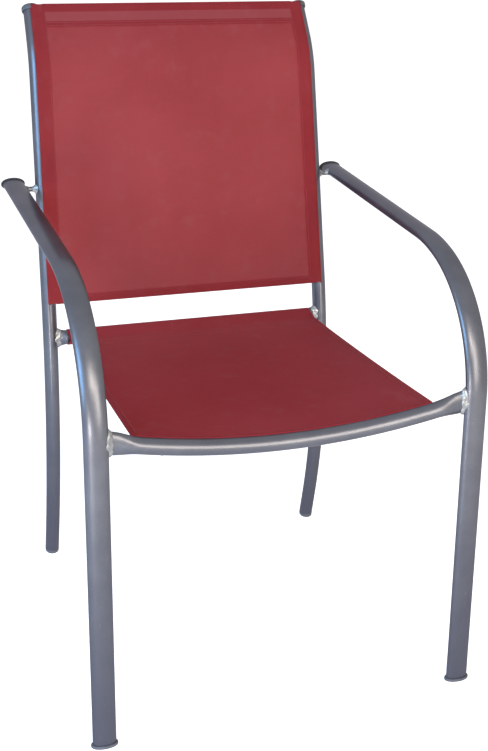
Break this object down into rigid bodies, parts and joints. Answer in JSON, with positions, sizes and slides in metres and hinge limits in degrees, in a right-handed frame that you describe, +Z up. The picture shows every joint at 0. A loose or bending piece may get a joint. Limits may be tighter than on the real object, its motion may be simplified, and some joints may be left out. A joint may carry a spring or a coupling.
{
  "type": "sling patio chair",
  "caption": "Stacking outdoor armchair with a bent, welded steel tube frame, oval front legs that run into flat arms, and a separate back sling and seat sling.",
  "frame": {"origin": "on the floor, under the middle of the chair's outline seen from above", "axes": "+Z up, -Y towards the chair's front, +X towards the right side as someone facing the chair sees it"},
  "size_m": [0.5706, 0.6737, 0.8947],
  "materials": {
    "frame_paint": "satin silver-grey powder coat on steel tube",
    "weld_metal": "weld beads under the same paint",
    "sling_cloth": "red PVC-coated polyester mesh, slightly open weave",
    "edge_cord": "plastic cord inside the hems",
    "black_plastic": "moulded plastic arm end caps",
    "grey_plastic": "moulded grey plastic feet and upright caps"
  },
  "bodies": {
    "root": {"left_front_leg_and_arm": "frame_paint", "right_front_leg_and_arm": "frame_paint", "left_rear_leg_and_upright": "frame_paint", "right_rear_leg_and_upright": "frame_paint", "front_rail": "frame_paint", "rear_rail": "frame_paint", "top_rail": "frame_paint", "left_seat_tube": "frame_paint", "right_seat_tube": "frame_paint", "left_arm_bar": "frame_paint", "right_arm_bar": "frame_paint", "left_front_rail_weld": "weld_metal", "right_front_rail_weld": "weld_metal", "left_rear_rail_weld": "weld_metal", "right_rear_rail_weld": "weld_metal", "left_top_rail_weld": "weld_metal", "right_top_rail_weld": "weld_metal", "left_arm_bar_upright_weld": "weld_metal", "right_arm_bar_upright_weld": "weld_metal", "left_arm_bar_arm_weld": "weld_metal", "right_arm_bar_arm_weld": "weld_metal", "left_seat_tube_front_weld": "weld_metal", "right_seat_tube_front_weld": "weld_metal", "left_seat_tube_rear_weld": "weld_metal", "right_seat_tube_rear_weld": "weld_metal", "left_front_foot_cap": "grey_plastic", "right_front_foot_cap": "grey_plastic", "left_rear_foot_plug": "grey_plastic", "right_rear_foot_plug": "grey_plastic", "left_arm_end_cap": "black_plastic", "right_arm_end_cap": "black_plastic", "left_upright_top_plug": "grey_plastic", "right_upright_top_plug": "grey_plastic", "back_sling": "sling_cloth", "seat_sling": "sling_cloth", "left_back_cord": "edge_cord", "right_back_cord": "edge_cord", "seat_front_cord": "edge_cord"}
  },
  "joints": []
}
